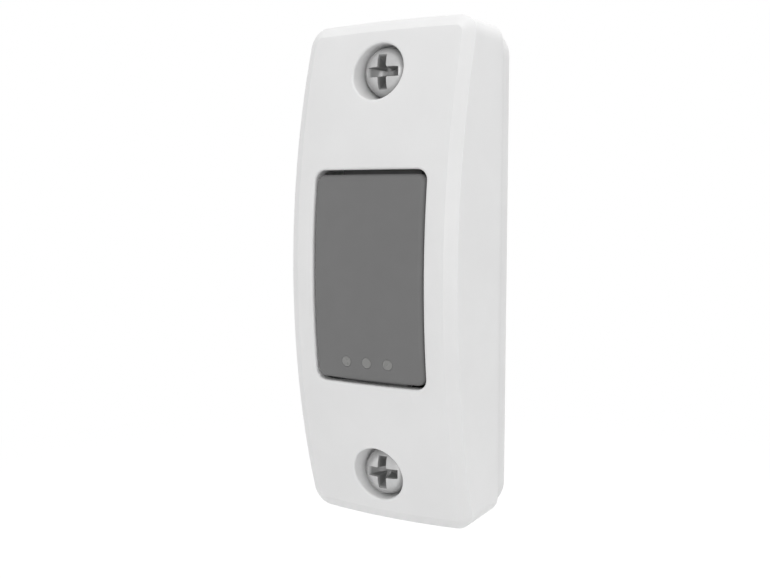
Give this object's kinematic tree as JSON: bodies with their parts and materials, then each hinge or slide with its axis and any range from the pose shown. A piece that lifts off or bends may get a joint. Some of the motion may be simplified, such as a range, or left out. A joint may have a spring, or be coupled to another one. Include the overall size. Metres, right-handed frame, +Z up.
{
  "type": "wall push button",
  "caption": "Slim arched wall push button with a rocking cap over a tact switch, a lit locator, a back plate, wire terminals and wall screws.",
  "frame": {"origin": "middle of the back plate's wall face", "axes": "+X to the right seen from the front, +Y into the wall, +Z up"},
  "size_m": [0.026, 0.0391, 0.0696],
  "materials": {
    "case_white": "fine satin moulding",
    "plate_white": "fine satin moulding",
    "cap_grey": "fine satin moulding",
    "guide_grey": "smooth translucent",
    "screw_zinc": "zinc plated",
    "small_screw_zinc": "zinc plated",
    "board_green": "solder resist",
    "switch_black": "moulded",
    "switch_steel": "stamped",
    "plunger_black": "moulded",
    "dome_steel": "spring sheet",
    "leg_tin": "tinned",
    "lamp_amber": "clear moulded epoxy",
    "lead_tin": "tinned wire",
    "resistor_beige": "lacquered",
    "diode_black": "moulded epoxy",
    "terminal_brass": "turned",
    "pad_tin": "stamped",
    "washer_nickel": "nickel plated",
    "clamp_screw_brass": "turned",
    "solder_tin": "solder"
  },
  "bodies": {
    "case": {"front_housing": "case_white", "rear_plate": "plate_white", "wall_screws": "screw_zinc", "circuit_board": "board_green", "board_screws": "small_screw_zinc", "switch_base": "switch_black", "switch_cover": "switch_steel", "contact_dome": "dome_steel", "switch_legs": "leg_tin", "locator_lamp": "lamp_amber", "lamp_leads": "lead_tin", "series_resistor": "resistor_beige", "resistor_leads": "lead_tin", "steering_diode": "diode_black", "diode_leads": "lead_tin", "terminal_bushes": "terminal_brass", "terminal_pads": "pad_tin", "clamp_washers": "washer_nickel", "terminal_screws": "clamp_screw_brass", "solder_joints": "solder_tin"},
    "button": {"button_cap": "cap_grey", "light_guide": "guide_grey"},
    "plunger": {"switch_plunger": "plunger_black"}
  },
  "joints": [
    {"name": "button_hinge", "type": "hinge", "parent": "case", "child": "button", "pos_m": [0, -0.0126, 0.017], "axis": [1, 0, 0], "range_deg": [0, 0.95], "stiffness_Nm_per_rad": 2.2},
    {"name": "plunger_slide", "type": "slide", "parent": "case", "child": "plunger", "axis": [0, 1, 0], "range_m": [0, 0.0003]}
  ],
  "couplings": [
    {"joint": "plunger_slide", "follows": "button_hinge", "m_per_rad": 0.018}
  ]
}
